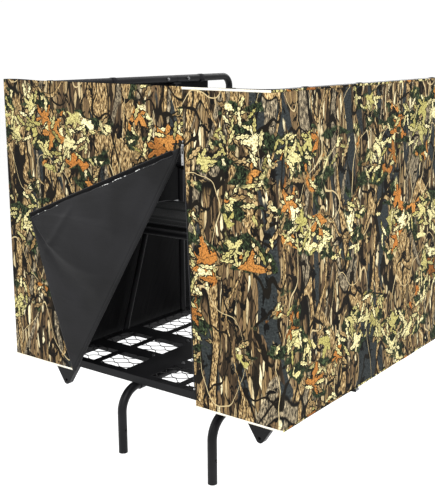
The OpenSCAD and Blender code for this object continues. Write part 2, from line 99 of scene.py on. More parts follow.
# ---------------------------------------------------------------- node helpers
class Tree:
    """Short names for building a material's nodes."""

    def __init__(self, name):
        self.mat = bpy.data.materials.new(name)
        self.mat.use_nodes = True
        self.nt = self.mat.node_tree
        self.nt.nodes.clear()
        self.out = self.nt.nodes.new("ShaderNodeOutputMaterial")
        self.bsdf = self.nt.nodes.new("ShaderNodeBsdfPrincipled")
        self.nt.links.new(self.bsdf.outputs[0], self.out.inputs[0])

    def put(self, socket, value):
        if isinstance(value, bpy.types.NodeSocket):
            self.nt.links.new(value, socket)
        elif value is not None:
            if hasattr(socket, "default_value") and hasattr(socket.default_value, "__len__"):
                value = tuple(value) if hasattr(value, "__len__") else (value,) * 3
                if len(socket.default_value) == 4 and len(value) == 3:
                    value = (*value, 1)
            socket.default_value = value

    def new(self, kind, **props):
        node = self.nt.nodes.new(kind)
        for k, v in props.items():
            setattr(node, k, v)
        return node

    def uv(self):
        return self.new("ShaderNodeTexCoord").outputs["UV"]

    def obj(self):
        return self.new("ShaderNodeTexCoord").outputs["Object"]

    def m(self, op, a, b=None, c=None, clamp=False):
        node = self.new("ShaderNodeMath", operation=op, use_clamp=clamp)
        for i, v in enumerate((a, b, c)):
            self.put(node.inputs[i], v)
        return node.outputs[0]

    def mul(self, a, b):
        return self.m("MULTIPLY", a, b)

    def mad(self, a, b, c):
        return self.m("MULTIPLY_ADD", a, b, c)

    def flip(self, a):
        """1 - a."""
        return self.m("SUBTRACT", 1.0, a)

    def v(self, op, a, b=None, scale=None):
        node = self.new("ShaderNodeVectorMath", operation=op)
        self.put(node.inputs[0], a)
        self.put(node.inputs[1], b)
        if scale is not None:
            self.put(node.inputs["Scale"], scale)
        return node.outputs["Value"] if op in ("LENGTH", "DOT_PRODUCT") else node.outputs[0]

    def xyz(self, vec):
        node = self.new("ShaderNodeSeparateXYZ")
        self.put(node.inputs[0], vec)
        return node.outputs[0], node.outputs[1], node.outputs[2]

    def vec(self, x=0.0, y=0.0, z=0.0):
        node = self.new("ShaderNodeCombineXYZ")
        for i, val in enumerate((x, y, z)):
            self.put(node.inputs[i], val)
        return node.outputs[0]

    def spread(self, u, h, across, up, seed=0.0):
        """A place on the cloth with its own scale across and up."""
        return self.vec(self.mul(u, across), self.mul(h, up), seed)

    def times(self, color, fac, stops):
        """The colour, made lighter or darker by a ramp over fac."""
        return self.mix(1.0, color, self.ramp(fac, stops), "MULTIPLY")

    def noise(self, vec, scale=1.0, detail=2.0, rough=0.5, distort=0.0, color=False):
        node = self.new("ShaderNodeTexNoise", noise_dimensions="3D")
        self.put(node.inputs["Vector"], vec)
        for k, val in (("Scale", scale), ("Detail", detail), ("Roughness", rough), ("Distortion", distort)):
            self.put(node.inputs[k], val)
        return node.outputs["Color" if color else 0]

    def cells(self, vec, feature="F1", randomness=1.0):
        node = self.new("ShaderNodeTexVoronoi", voronoi_dimensions="2D", feature=feature)
        self.put(node.inputs["Vector"], vec)
        self.put(node.inputs["Scale"], 1.0)
        self.put(node.inputs["Randomness"], randomness)
        return node

    def ramp(self, fac, stops, interp="LINEAR"):
        node = self.new("ShaderNodeValToRGB")
        self.put(node.inputs[0], fac)
        ramp = node.color_ramp
        ramp.interpolation = interp
        while len(ramp.elements) < len(stops):
            ramp.elements.new(0.5)
        for el, (pos, col) in zip(ramp.elements, stops):
            el.position, el.color = pos, (*col, 1)
        return node.outputs[0]

    def mix(self, fac, a, b, blend="MIX"):
        node = self.new("ShaderNodeMix", data_type="RGBA", blend_type=blend)
        self.put(node.inputs[0], fac)
        self.put(node.inputs[6], a)
        self.put(node.inputs[7], b)
        return node.outputs[2]

    def step(self, value, edge, soft):
        """0 below edge, 1 above edge + soft."""
        node = self.new("ShaderNodeMapRange", interpolation_type="SMOOTHSTEP")
        self.put(node.inputs[0], value)
        self.put(node.inputs[1], edge)
        if isinstance(edge, bpy.types.NodeSocket):
            self.put(node.inputs[2], self.m("ADD", edge, soft))
        else:
            self.put(node.inputs[2], edge + soft)
        return node.outputs[0]

    def bump(self, height, strength=0.3, distance=0.001, normal=None):
        node = self.new("ShaderNodeBump")
        self.put(node.inputs["Strength"], strength)
        self.put(node.inputs["Distance"], distance)
        self.put(node.inputs["Height"], height)
        self.put(node.inputs["Normal"], normal)
        return node.outputs[0]

    def finish(self, color=None, rough=None, bump=None, **const):
        self.put(self.bsdf.inputs["Base Color"], color)
        self.put(self.bsdf.inputs["Roughness"], rough)
        self.put(self.bsdf.inputs["Normal"], bump)
        for k, val in const.items():
            self.put(self.bsdf.inputs[k.replace("_", " ")], val)
        return self.mat


def rgb(text):
    """A colour as it looks on a screen, turned to the linear values that Blender uses."""
    parts = [int(text[i:i + 2], 16) / 255 for i in (0, 2, 4)]
    return tuple(c / 12.92 if c <= 0.04045 else ((c + 0.055) / 1.055) ** 2.4 for c in parts)


def tones(*stops):
    """Stops of a colour ramp, each a place and a colour."""
    return [(at, rgb(text)) for at, text in stops]


# ---------------------------------------------------------------- camouflage cloth
def leaf_layer(t, p, cell, seed, lobes, share, cluster, wobble, stretch=1.0):
    """Leaves scattered one to a cell: masks of the leaf, of the dark gap round it and of its
    veins, and a random number for its colour. lobes is 5 for a maple, 0 for a long leaf."""
    q = t.v("ADD", t.v("SCALE", p, scale=1 / cell), (seed * 7.31, seed * 3.17, 0))
    q = t.v("ADD", q, t.v("SCALE", wobble, scale=0.22))
    v = t.cells(q, randomness=0.85)
    local = t.v("SUBTRACT", q, v.outputs["Position"])
    r1, r2, r3 = t.xyz(v.outputs["Color"])
    turn = t.new("ShaderNodeVectorRotate", rotation_type="Z_AXIS")
    t.put(turn.inputs["Vector"], local)
    t.put(turn.inputs["Angle"], t.mul(r1, 6.283))
    x, y, _ = t.xyz(turn.outputs[0])
    ragged = t.noise(q, 7.0, 2, 0.6)
    size = t.mad(r2, 0.45, 0.70 * stretch)
    if lobes:
        radius = t.v("LENGTH", t.vec(x, y))
        angle = t.m("ARCTAN2", y, x)
        wave = t.m("ABSOLUTE", t.m("SINE", t.mul(angle, lobes / 2)))
        lobe = t.m("POWER", t.flip(wave), 0.85)
        reach = t.mad(lobe, 0.34, 0.13)
        reach = t.mad(t.m("COSINE", angle), 0.11, reach)
        reach = t.mad(t.m("SUBTRACT", ragged, 0.5), 0.55, reach)
        inside = t.m("SUBTRACT", t.mul(reach, size), radius)
        vein = t.mul(wave, radius)
    else:
        along = t.m("DIVIDE", x, t.mul(size, 0.52))
        bow = t.flip(t.mul(along, along))
        lobed = t.mad(t.m("COSINE", t.mul(along, 13.0)), 0.26, 0.74)
        half = t.mul(t.mul(bow, lobed), 0.15)
        half = t.mad(t.m("SUBTRACT", ragged, 0.5), 0.07, half)
        inside = t.m("SUBTRACT", half, t.m("ABSOLUTE", y))
        vein = t.m("ABSOLUTE", y)
    present = t.m("LESS_THAN", r3, share)
    present = t.mul(present, cluster)
    leaf = t.mul(t.step(inside, 0.0, 0.02), present)
    gap = t.mul(t.step(inside, -0.10, 0.06), present)
    veins = t.flip(t.step(vein, 0.008, 0.02))
    return leaf, gap, veins, t.m("FRACT", t.mul(r3, 37.7))


def camo_material(name, painted_brightness=1.0):
    t = Tree(name)
    p = t.uv()
    wob = t.v("SUBTRACT", t.noise(p, 26, 2, 0.6, color=True), (0.5, 0.5, 0.5))
    slow = t.v("SUBTRACT", t.noise(p, 5, 1, 0.5, color=True), (0.5, 0.5, 0.5))
    warped = t.v("ADD", p, t.v("SCALE", slow, scale=0.035))
    warped = t.v("ADD", warped, t.v("SCALE", wob, scale=0.008))
    u, h, _ = t.xyz(warped)

    # long slivers of bark, each its own colour, with dark cracks between them
    q = t.spread(u, h, 1 / 0.0088, 1 / 0.062)
    sliver, edge = t.cells(q), t.cells(q, "DISTANCE_TO_EDGE")
    r1, r2, _ = t.xyz(sliver.outputs["Color"])
    bark = t.ramp(r1, tones((0.0, "16130e"), (0.22, "3b3024"), (0.42, "65523b"), (0.60, "8a744f"),
                            (0.74, "6d5840"), (0.87, "b09c74"), (1.0, "e6dcb6")))
    streak = t.noise(t.spread(u, h, 420, 46), 1, 4, 0.65)
    bark = t.times(bark, streak, [(0.30, (0.25, 0.24, 0.22)), (0.52, (0.95, 0.93, 0.9)),
                                  (0.72, (1.35, 1.3, 1.2))])
    bark = t.mix(t.flip(t.step(edge.outputs["Distance"], 0.03, 0.10)), bark, rgb("15120d"))

    # fine-grained trunks that lean, and the dark slate gaps between them
    def leaning(lean, across, seed):
        uu = t.mad(h, lean, u)
        return t.noise(t.vec(t.mul(uu, across), t.mul(h, 1.1), seed), 1, 1.5, 0.45)

    trunk_a, trunk_b = leaning(0.22, 7.0, 3.1), leaning(-0.30, 8.5, 9.4)
    grain = t.noise(t.spread(u, h, 230, 62), 1, 4, 0.68, 0.3)
    trunk = t.ramp(grain, tones((0.40, "17120c"), (0.47, "5a4730"), (0.54, "a18556"), (0.66, "d6c091")))
    greyer = t.ramp(grain, tones((0.40, "161512"), (0.48, "4f483b"), (0.57, "8d7f66"), (0.68, "c0b392")))
    in_a = t.mul(t.step(trunk_a, 0.565, 0.006), t.flip(t.step(trunk_a, 0.635, 0.02)))
    in_b = t.mul(t.step(trunk_b, 0.60, 0.006), t.flip(t.step(trunk_b, 0.66, 0.02)))
    slate_fine = t.noise(p, 160, 3, 0.6)
    slate = t.ramp(slate_fine, tones((0.3, "181a1a"), (0.6, "2e3232"), (0.8, "454a48")))
    gap_n = t.noise(t.vec(t.mul(t.mad(h, 0.12, u), 11.0), t.mul(h, 2.2), 5.5), 1, 2, 0.5, 0.3)
    color = t.mix(t.step(gap_n, 0.56, 0.012), bark, slate)
    color = t.mix(in_b, color, greyer)
    color = t.mix(in_a, color, trunk)

    # black shadow blots
    blot = t.noise(t.spread(u, h, 24, 15, 1.7), 1, 4, 0.62, 0.6)
    color = t.mix(t.step(blot, 0.575, 0.02), color, rgb("0d0c0a"))

    # branches with dark edges, and thin dark twigs
    def line(across, up, seed, width, detail=1.0):
        n = t.noise(t.spread(u, h, across, up, seed), 1, detail, 0.4)
        off = t.m("ABSOLUTE", t.m("SUBTRACT", n, 0.5))
        return t.flip(t.step(off, width, width * 0.3)), t.flip(t.step(off, width * 0.66, width * 0.2))

    branches = ((3.6, 0.7, 2.2, 0.020, trunk), (3.2, 1.2, 7.7, 0.012, greyer), (4.4, 2.0, 3.9, 0.009, trunk))
    for across, up, seed, width, tone in branches:
        rim, core = line(across, up, seed, width)
        color = t.mix(rim, color, rgb("0f0d0a"))
        color = t.mix(core, color, tone)
    color = t.mix(line(11, 6, 6.6, 0.014)[0], color, rgb("14110c"))
    color = t.mix(line(5, 3, 4.8, 0.0020)[0], color, rgb("b3a178"))

    # clusters of leaves in loose bands
    band = t.noise(t.spread(u, h, 5.0, 5.2, 8.8), 1, 2.5, 0.55, 0.4)
    wave = t.m("SINE", t.mad(t.noise(p, 2.5, 1), 7.0, t.mul(h, 20.5)))
    band = t.mad(wave, 0.085, band)
    some, more = t.step(band, 0.525, 0.02), t.step(band, 0.485, 0.02)
    needles = t.noise(t.spread(u, h, 120, 75), 1, 3, 0.7, 1.2)
    clump = t.noise(t.spread(u, h, 8, 16, 4.1), 1, 1.5, 0.5)
    green = t.ramp(needles, tones((0.42, "070806"), (0.54, "222b1b"), (0.66, "475538"), (0.8, "74805e")))
    color = t.mix(t.mul(t.step(t.mad(needles, 0.12, clump), 0.60, 0.02), more), color, green)

    def leaves(color, cell, seed, lobes, share, cluster, stops, stretch=1.0):
        leaf, gap, veins, tone = leaf_layer(t, p, cell, seed, lobes, share, cluster, wob, stretch)
        color = t.mix(gap, color, rgb("15130e"))
        paint = t.ramp(tone, stops)
        mottled = t.noise(p, 190, 3, 0.6)
        paint = t.times(paint, mottled, [(0.36, (0.30, 0.27, 0.22)), (0.5, (0.9, 0.88, 0.84)),
                                         (0.64, (1.1, 1.1, 1.08))])
        paint = t.mix(t.mul(veins, 0.65), paint, rgb("3d2e1a"))
        return t.mix(leaf, color, paint)

    cream = tones((0.0, "f0e8b8"), (0.3, "dbd196"), (0.55, "aca562"), (0.8, "e8dfa9"), (1.0, "8e874b"))
    tan = tones((0.0, "94794f"), (0.5, "b7a073"), (1.0, "6d5739"))
    rust = tones((0.0, "a9692f"), (0.5, "bb8344"), (1.0, "8f5a2a"))
    color = leaves(color, 0.058, 1.0, 0, 0.55, more, tan, 1.3)
    color = leaves(color, 0.046, 2.0, 0, 0.75, some, cream, 1.4)
    color = leaves(color, 0.085, 3.0, 5, 0.60, some, cream, 1.3)
    color = leaves(color, 0.120, 5.0, 5, 0.50, some, rust, 1.05)
    color = leaves(color, 0.050, 4.0, 0, 0.60, some, cream, 1.4)

    # woven cloth: fine threads in the bump, a hem's stitches near the lower edge
    pu, ph, _ = t.xyz(p)
    threads = t.mul(t.m("SINE", t.mul(pu, 5200)), t.m("SINE", t.mul(ph, 5200)))
    fade = t.noise(p, 3.2, 2, 0.5)
    # painted_brightness scales the whole print; the right sheet's copy is set lighter than the rest, as
    # painted light
    color = t.times(color, fade, [(0.3, (0.86 * painted_brightness,) * 3), (0.7, (1.06 * painted_brightness,) * 3)])
    stitch = t.mul(t.flip(t.step(t.m("ABSOLUTE", t.m("SUBTRACT", ph, 0.016)), 0.0004, 0.0004)),
                   t.m("GREATER_THAN", t.m("SINE", t.mul(pu, 1570)), -0.35))
    color = t.mix(stitch, color, rgb("2a261e"))
    hem_dip = t.mul(t.flip(t.step(t.m("ABSOLUTE", t.m("SUBTRACT", ph, 0.016)), 0.0006, 0.0018)), -1.5)
    wrinkles = t.noise(t.spread(pu, ph, 16, 9), 1, 3, 0.5, 0.4)
    bump = t.bump(t.m("ADD", t.mul(threads, 0.08), hem_dip), 0.25, 0.0006)
    bump = t.bump(wrinkles, 0.22, 0.006, bump)
    rough = t.mad(streak, 0.15, 0.70)
    return t.finish(color, rough, bump, Specular_IOR_Level=0.08)


def coated_cloth(name, base, light, gloss):
    """The black coated inner face: soft satin with fine creases."""
    t = Tree(name)
    p = t.uv()
    slow = t.noise(p, 5, 3, 0.5, 0.6)
    color = t.ramp(slow, [(0.3, rgb(base)), (0.72, rgb(light))])
    pu, ph, _ = t.xyz(p)
    threads = t.mul(t.m("SINE", t.mul(pu, 4200)), t.m("SINE", t.mul(ph, 4200)))
    crease = t.noise(t.vec(t.mul(t.mad(ph, 0.5, pu), 22), t.mul(ph, 6)), 1, 4, 0.55, 1.0)
    bump = t.bump(threads, 0.12, 0.0004)
    bump = t.bump(crease, 0.28, 0.006, bump)
    rough = t.mad(slow, 0.25, 0.40)
    return t.finish(color, rough, bump, Specular_IOR_Level=gloss)


def woven(name, dark, light, pitch=0.0009, rough=0.8, gloss=0.08):
    """Tape, binding and webbing: a twill of threads over the object's own coordinates."""
    t = Tree(name)
    p = t.obj()
    x, y, z = t.xyz(p)
    k = 6.283 / pitch
    a = t.m("SINE", t.mul(t.m("ADD", t.m("ADD", x, y), z), k))
    b = t.m("SINE", t.mul(t.m("SUBTRACT", t.m("SUBTRACT", x, y), z), k))
    weave = t.mad(t.mul(a, b), 0.5, 0.5)
    soil = t.noise(p, 40, 3, 0.6)
    color = t.mix(weave, rgb(dark), rgb(light))
    color = t.mix(t.step(soil, 0.55, 0.2), color, t.mix(0.6, color, rgb(dark)))
    bump = t.bump(weave, 0.5, 0.0003)
    return t.finish(color, t.mad(soil, 0.15, rough - 0.07), bump, Specular_IOR_Level=gloss)


def powder_coat(name, base="0b0b0d", light="161618", grain=900.0):
    t = Tree(name)
    p = t.obj()
    peel = t.noise(p, grain, 2, 0.5)
    dust = t.noise(p, 9, 4, 0.6)
    rub_and_glint = t.noise(p, 55, 5, 0.7, 0.8)
    color = t.ramp(dust, [(0.32, rgb(base)), (0.7, rgb(light))])
    color = t.mix(t.mul(t.step(rub_and_glint, 0.70, 0.05), 0.5), color, rgb("4a4a4b"))
    rough = t.mad(dust, 0.18, 0.34)
    return t.finish(color, rough, t.bump(peel, 0.25, 0.0003), Specular_IOR_Level=0.14)


def bright_metal(name, dark, light, rough=0.35, scale=300.0):
    t = Tree(name)
    p = t.obj()
    fine = t.noise(p, scale, 4, 0.65)
    stain = t.noise(p, 60, 3, 0.6)
    color = t.mix(t.step(stain, 0.45, 0.25), rgb(light), rgb(dark))
    return t.finish(color, t.mad(fine, 0.25, rough - 0.1), t.bump(fine, 0.15, 0.0002), Metallic=1.0)


def vinyl(name, base, light):
    """Grained vinyl or foam skin."""
    t = Tree(name)
    p = t.obj()
    v = t.new("ShaderNodeTexVoronoi", feature="DISTANCE_TO_EDGE")
    t.put(v.inputs["Vector"], p)
    t.put(v.inputs["Scale"], 420.0)
    grain = t.step(v.outputs["Distance"], 0.0, 0.25)
    slow = t.noise(p, 7, 3, 0.5)
    color = t.ramp(slow, [(0.3, rgb(base)), (0.7, rgb(light))])
    # the grain's grooves, low in the bump, are painted darker: painted shade in the recesses
    color = t.mix(grain, t.mix(0.5, color, rgb("0c0c0c")), color)
    bump = t.bump(grain, 0.35, 0.0004)
    bump = t.bump(t.noise(p, 28, 3, 0.5, 0.5), 0.2, 0.004, bump)
    return t.finish(color, t.mad(slow, 0.2, 0.42), bump, Specular_IOR_Level=0.12)


def plastic(name, base="121214", light="1d1d20"):
    t = Tree(name)
    p = t.obj()
    fine, slow = t.noise(p, 700, 2, 0.5), t.noise(p, 20, 3, 0.6)
    color = t.ramp(slow, [(0.3, rgb(base)), (0.75, rgb(light))])
    return t.finish(color, t.mad(slow, 0.2, 0.4), t.bump(fine, 0.2, 0.0002))


def zip_coil_painted_glints(name):
    """Black zip elements whose colour holds painted glints: bright dashes that stand in for light caught
    along them.
    """
    t = Tree(name)
    p = t.obj()
    rub_and_glint = t.noise(p, 26, 3, 0.7, 1.0)
    painted_glint = t.step(rub_and_glint, 0.55, 0.03)
    color = t.mix(painted_glint, rgb("1c1c1e"), rgb("dcdcd8"))
    return t.finish(color, t.mad(rub_and_glint, 0.2, 0.25), t.bump(t.noise(p, 500, 2), 0.2, 0.0002), Metallic=0.35)


MAT = {
    "camo": camo_material("camo_cloth", 1.05),
    # the right sheet's copy of the print is painted lighter than the left sheet's and the door's: painted
    # light on that side
    "camo_painted_lighter": camo_material("camo_cloth_painted_lighter", 1.15),
    "coated": coated_cloth("coated_cloth", "0d0d0e", "1c1c1e", 0.14),
    # the inside copy of the coated cloth is painted darker than the flap's back: painted shade inside the
    # blind
    "inner": coated_cloth("coated_cloth_inside_painted_darker", "030304", "08080a", 0.05),
    "binding": woven("binding", "cfc9b4", "fbf7ea"),
    "tape": woven("zip_tape", "060607", "121213"),
    "webbing": woven("webbing", "101012", "2c2c2f", 0.0016),
    "powder": powder_coat("powder_coat"),
    "wire": powder_coat("wire", "0d0d0e", "1a1a1b", 1600.0),
    "zinc": bright_metal("zinc_bolt", "5f6062", "a9aaab"),
    "nickel": bright_metal("zip_metal", "6d6d6d", "b5b5b3", 0.3),
    # black with painted glints, for the zip piping
    "coil_painted_glints": zip_coil_painted_glints("zip_coil_painted_glints"),
    "vinyl": vinyl("seat_vinyl", "0a0b0b", "141616"),
    "foam": vinyl("foam_grip", "161617", "262627"),
    "plastic": plastic("black_plastic"),
}


# ---------------------------------------------------------------- mesh helpers
def mesh_object(name, verts, faces, mats, uvs=None, smooth=True, face_mats=None):
    me = bpy.data.meshes.new(name)
    me.from_pydata([tuple(v) for v in verts], [], faces)
    for m in mats if isinstance(mats, (list, tuple)) else [mats]:
        me.materials.append(MAT[m])
    if uvs is not None:
        layer = me.uv_layers.new(name="UVMap")
        for loop in me.loops:
            layer.data[loop.index].uv = uvs[loop.vertex_index]
    for poly in me.polygons:
        poly.use_smooth = smooth
        if face_mats is not None:
            poly.material_index = face_mats[poly.index]
    me.update()
    obj = bpy.data.objects.new(name, me)
    bpy.context.scene.collection.objects.link(obj)
    return obj


def circle(n):
    """The angles of n points round a circle."""
    return [2 * math.pi * k / n for k in range(n)]


def grid_faces(rows, cols, closed_cols=False, base=0):
    faces = []
    last = cols if closed_cols else cols - 1
    for i in range(rows - 1):
        for j in range(last):
            k = (j + 1) % cols
            low, high = base + i * cols, base + (i + 1) * cols
            faces.append((low + j, low + k, high + k, high + j))
    return faces


class Parts:
    """Gathers many small shapes into one piece."""

    def __init__(self):
        self.v, self.f, self.m = [], [], []

    def add(self, verts, faces, mat=0):
        base = len(self.v)
        self.v += [Vector(v) for v in verts]
        self.f += [tuple(base + i for i in f) for f in faces]
        self.m += [mat] * len(faces)

    def tube(self, path, radius, sides=8, mat=0, caps=True, closed=False):
        """A round bar along a path; radius is a number or one number for each point."""
        path = [Vector(p) for p in path]
        n = len(path)
        radii = radius if hasattr(radius, "__len__") else [radius] * n
        verts, up = [], None
        for i, p in enumerate(path):
            a = path[i - 1] if i or closed else p
            b = path[(i + 1) % n] if i < n - 1 or closed else p
            way = (b - a).normalized()
            if up is None:
                up = way.orthogonal().normalized()
            up = (up - way * up.dot(way)).normalized()
            side = way.cross(up)
            for ang in circle(sides):
                verts.append(p + (up * math.cos(ang) + side * math.sin(ang)) * radii[i])
        faces = grid_faces(n, sides, True)
        if closed:
            end = (n - 1) * sides
            faces += [(end + k, end + (k + 1) % sides, (k + 1) % sides, k) for k in range(sides)]
        elif caps:
            faces.append(tuple(reversed(range(sides))))
            faces.append(tuple((n - 1) * sides + k for k in range(sides)))
        self.add(verts, faces, mat)

    def loft(self, rings, mat=0):
        """Closed rings of the same number of points, capped at both ends."""
        n = len(rings[0])
        faces = grid_faces(len(rings), n, True)
        faces.append(tuple(reversed(range(n))))
        faces.append(tuple((len(rings) - 1) * n + k for k in range(n)))
        self.add([v for r in rings for v in r], faces, mat)

    def make(self, name, mats, smooth=True, angle=None):
        obj = mesh_object(name, self.v, self.f, mats, None, smooth, self.m)
        if angle is not None:
            obj.data.set_sharp_from_angle(angle=math.radians(angle))
        return obj


def with_modifier(obj, kind, **props):
    mod = obj.modifiers.new(kind.lower(), kind)
    for k, v in props.items():
        setattr(mod, k, v)
    return obj


def ripple(s, z, seed, scale=1.0):
    a = noise.noise(Vector((s * 2.6 * scale, z * 1.1 * scale, seed)))
    b = noise.noise(Vector((s * 8.0 * scale, z * 2.2 * scale, seed + 5)))
    c = noise.noise(Vector((s * 19.0 * scale, z * 6.0 * scale, seed + 9)))
    return a + 0.45 * b + 0.18 * c


# ---------------------------------------------------------------- places, all from the CAD
left_lo, left_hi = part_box("front_left_panel")
right_lo, right_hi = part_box("front_right_panel")
lwall_lo, lwall_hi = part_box("left_wall")
rwall_lo, rwall_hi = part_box("right_wall")
HEM = left_lo.z
TOP_LEFT = left_hi.z
TOP_RIGHT = rwall_hi.z
HALF = rwall_lo.x + 0.003
WALL_TOP_LEFT = lwall_hi.z
BACK_END = rwall_hi.y
APEX = Vector(joints["door_fold"]["pos_m"])
FOLD = Vector(joints["door_fold"]["axis"]).normalized()
ZIP = Vector(joints["zip_slide"]["axis"]).normalized()
LEAN = ZIP.x / -ZIP.z
FOLD_END = APEX - FOLD * ((APEX.z - HEM) / FOLD.z)
FOLD_Y = APEX.y
LEFT_Y = (left_lo.y + left_hi.y) / 2
RIGHT_Y = (right_lo.y + right_hi.y) / 2
FLAP_Y = 2 * FOLD_Y - LEFT_Y
ROLL_R = LEFT_Y - FOLD_Y
CLOTH = 0.0008


def seam_x(z):
    return APEX.x + (APEX.z - z) * LEAN


def fold_x(z):
    return FOLD_END.x + (z - HEM) * FOLD.x / FOLD.z


def bell(x, width):
    return math.exp(-(x / width) ** 2)


def smooth01(x):
    x = max(0.0, min(1.0, x))
    return x * x * (3 - 2 * x)


def thicken(obj, rim):
    """Gives the cloth its thickness, with the lining on its back and material number rim on its edges."""
    with_modifier(obj, "SOLIDIFY", thickness=CLOTH, offset=0.0, material_offset=1, material_offset_rim=rim)


# columns of points across the walls, round the corners and across the front panels
LEFT_WALL_COLS, LEFT_FRONT_COLS = 90, 74
RIGHT_WALL_COLS, RIGHT_FRONT_COLS = 100, 34
BEND_COLS = 6
# where each sheet's print starts across, and how far the left sheet runs round its corner
LEFT_PRINT, RIGHT_PRINT, BEND_RUN = -0.3, 2.0, 0.009


# ------------------------------------------------ left cloth: side wall and front in one sheet
def left_cloth():
    rows = [i / 96 for i in range(97)]

    def lean_top(x):
        return 0.0135 * (x + HALF) / (2 * HALF)

    apex_share = (APEX.z - HEM) / (TOP_LEFT - HEM - lean_top(APEX.x))
    rows = sorted(set(rows + [apex_share - 0.0005, apex_share + 0.011]))
    wall_cols, bend, panel_cols = LEFT_WALL_COLS, BEND_COLS, LEFT_FRONT_COLS
    radius = 0.006
    verts, uvs = [], []
    for v in rows:
        base_z = HEM + v * (TOP_LEFT - HEM)
        z_r = HEM + v * (TOP_LEFT - HEM - lean_top(APEX.x))
        for _ in range(3):
            x_r = fold_x(z_r) - 0.0006 if v <= apex_share else seam_x(z_r) + 0.012
            z_r = HEM + v * (TOP_LEFT - HEM - lean_top(x_r))
        depth = BACK_END - LEFT_Y - radius
        for j in range(wall_cols):
            s = depth * (1 - j / wall_cols)
            drop = (TOP_LEFT - WALL_TOP_LEFT) * smooth01(s / 0.35)
            low = (HEM - lwall_lo.z) * min(1.0, max(0.0, (LEFT_Y + radius + s - lwall_lo.y) / 0.145))
            z = HEM - low + v * (TOP_LEFT - HEM - drop + low)
            fall = 1 - v
            x_l = -HALF + 0.0015 + (left_lo.x + HALF) * (1 - (z - HEM) / (TOP_LEFT - HEM))
            out = 0.0045 * ripple(s, z, 2.0) * (0.25 + 0.75 * fall) * smooth01(s / 0.08)
            verts.append((x_l - max(out, -0.0012 - 0.004 * fall), LEFT_Y + radius + s, z))
            uvs.append((LEFT_PRINT - s, z - HEM))
        x_l = -HALF + 0.0015 + (left_lo.x + HALF) * (1 - v)
        for j in range(bend):
            a = math.pi / 2 * j / bend
            verts.append((x_l + radius * (1 - math.cos(a)), LEFT_Y + radius * (1 - math.sin(a)), base_z))
            uvs.append((LEFT_PRINT + radius * a, base_z - HEM))
        for j in range(panel_cols + 1):
            w = j / panel_cols
            x = x_l + radius + (x_r - x_l - radius) * w
            z = HEM + v * (TOP_LEFT - HEM - lean_top(x))
            near_edge = min(smooth01(w / 0.12), smooth01((1 - w) / 0.12))
            out = 0.0032 * ripple(x, z, 4.0) * near_edge * (0.3 + 0.7 * (1 - v)) + 0.0012 * near_edge
            verts.append((x, LEFT_Y - max(min(out, 0.0028), -0.0008), z))
            uvs.append((x + HALF + LEFT_PRINT + BEND_RUN, z - HEM))
    cols = wall_cols + bend + panel_cols + 1
    obj = mesh_object("blind_cloth_left", verts, grid_faces(len(rows), cols), ["camo", "inner"], uvs)
    thicken(obj, 0)
    return obj


def right_cloth():
    rows = [i / 96 for i in range(97)]
    wall_cols, bend, panel_cols = RIGHT_WALL_COLS, BEND_COLS, RIGHT_FRONT_COLS
    radius = 0.003
    verts, uvs = [], []
    for v in rows:
        x_r = HALF - 0.0015 + (rwall_hi.x - HALF) * (1 - v)
        z_side = HEM + v * (TOP_RIGHT - HEM)
        x_l = seam_x(z_side) + 0.003
        for j in range(panel_cols):
            w = j / panel_cols
            x = x_l + (x_r - radius - x_l) * w
            z = HEM + v * (TOP_RIGHT - HEM + 0.003 * (1 - w))
            hold = min(smooth01(w / 0.2), smooth01((1 - w) / 0.2))
            out = 0.0035 * (ripple(x, z, 12.0) + 0.3) * hold * (0.3 + 0.7 * (1 - v))
            verts.append((x, RIGHT_Y - max(out, -0.001), z))
            uvs.append((x + RIGHT_PRINT, z - HEM))
        for j in range(bend):
            a = math.pi / 2 * j / bend
            verts.append((x_r - radius * (1 - math.sin(a)), RIGHT_Y + radius * (1 - math.cos(a)), z_side))
            uvs.append((x_r - radius + radius * a + RIGHT_PRINT, z_side - HEM))
        depth = BACK_END - RIGHT_Y - radius
        for j in range(wall_cols + 1):
            s = depth * j / wall_cols
            hold = smooth01(s / 0.10)
            out = 0.005 * ripple(s, z_side, 15.0) * hold * (0.25 + 0.75 * (1 - v))
            verts.append((x_r + max(out, -0.0012 - 0.004 * (1 - v)), RIGHT_Y + radius + s, z_side))
            uvs.append((x_r + s + RIGHT_PRINT, z_side - HEM))
    cols = panel_cols + bend + wall_cols + 1
    obj = mesh_object("blind_cloth_right", verts, grid_faces(len(rows), cols), ["camo_painted_lighter", "inner"], uvs)
    thicken(obj, 0)
    return obj, verts, len(rows), cols


left = left_cloth()
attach(left, "stand")
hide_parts("left_wall", "front_left_panel")
right, right_verts, right_rows, right_cols = right_cloth()
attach(right, "stand")
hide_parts("right_wall", "front_right_panel")


# ---------------------------------------------------------------- bindings along the cloth's edges
def binding(name, line, out_dirs, height, down, node, mat="binding"):
    """A folded tape over an edge: line is the cloth's edge, out_dirs the outward direction at each point."""
    profile = [(0.0008, 0.0), (0.0011, height * 0.5), (0.0009, height), (0.0, height + 0.0006),
               (-0.0009, height), (-0.0011, height * 0.5), (-0.0008, 0.0)]
    verts, uvs = [], []
    for p, o in zip(line, out_dirs):
        for off, up in profile:
            verts.append(Vector(p) + o * off + Vector((0, 0, (up - height) * down)))
            uvs.append((p[0] + p[1], 0.5 + up))
    obj = mesh_object(name, verts, grid_faces(len(line), len(profile)), mat, uvs)
    with_modifier(obj, "SOLIDIFY", thickness=0.0004, offset=0.0)
    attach(obj, "stand")
    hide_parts(node)
    return obj


def outward(line):
    """Directions square to the edge, in the horizontal plane, pointing out of the blind."""
    dirs = []
    for i in range(len(line)):
        a, b = Vector(line[max(i - 1, 0)]), Vector(line[min(i + 1, len(line) - 1)])
        way = b - a
        dirs.append(Vector((way.y, -way.x, 0)).normalized())
    return dirs


def edge_of(obj_verts, cols, row):
    return [Vector(obj_verts[row * cols + j]) for j in range(cols)]


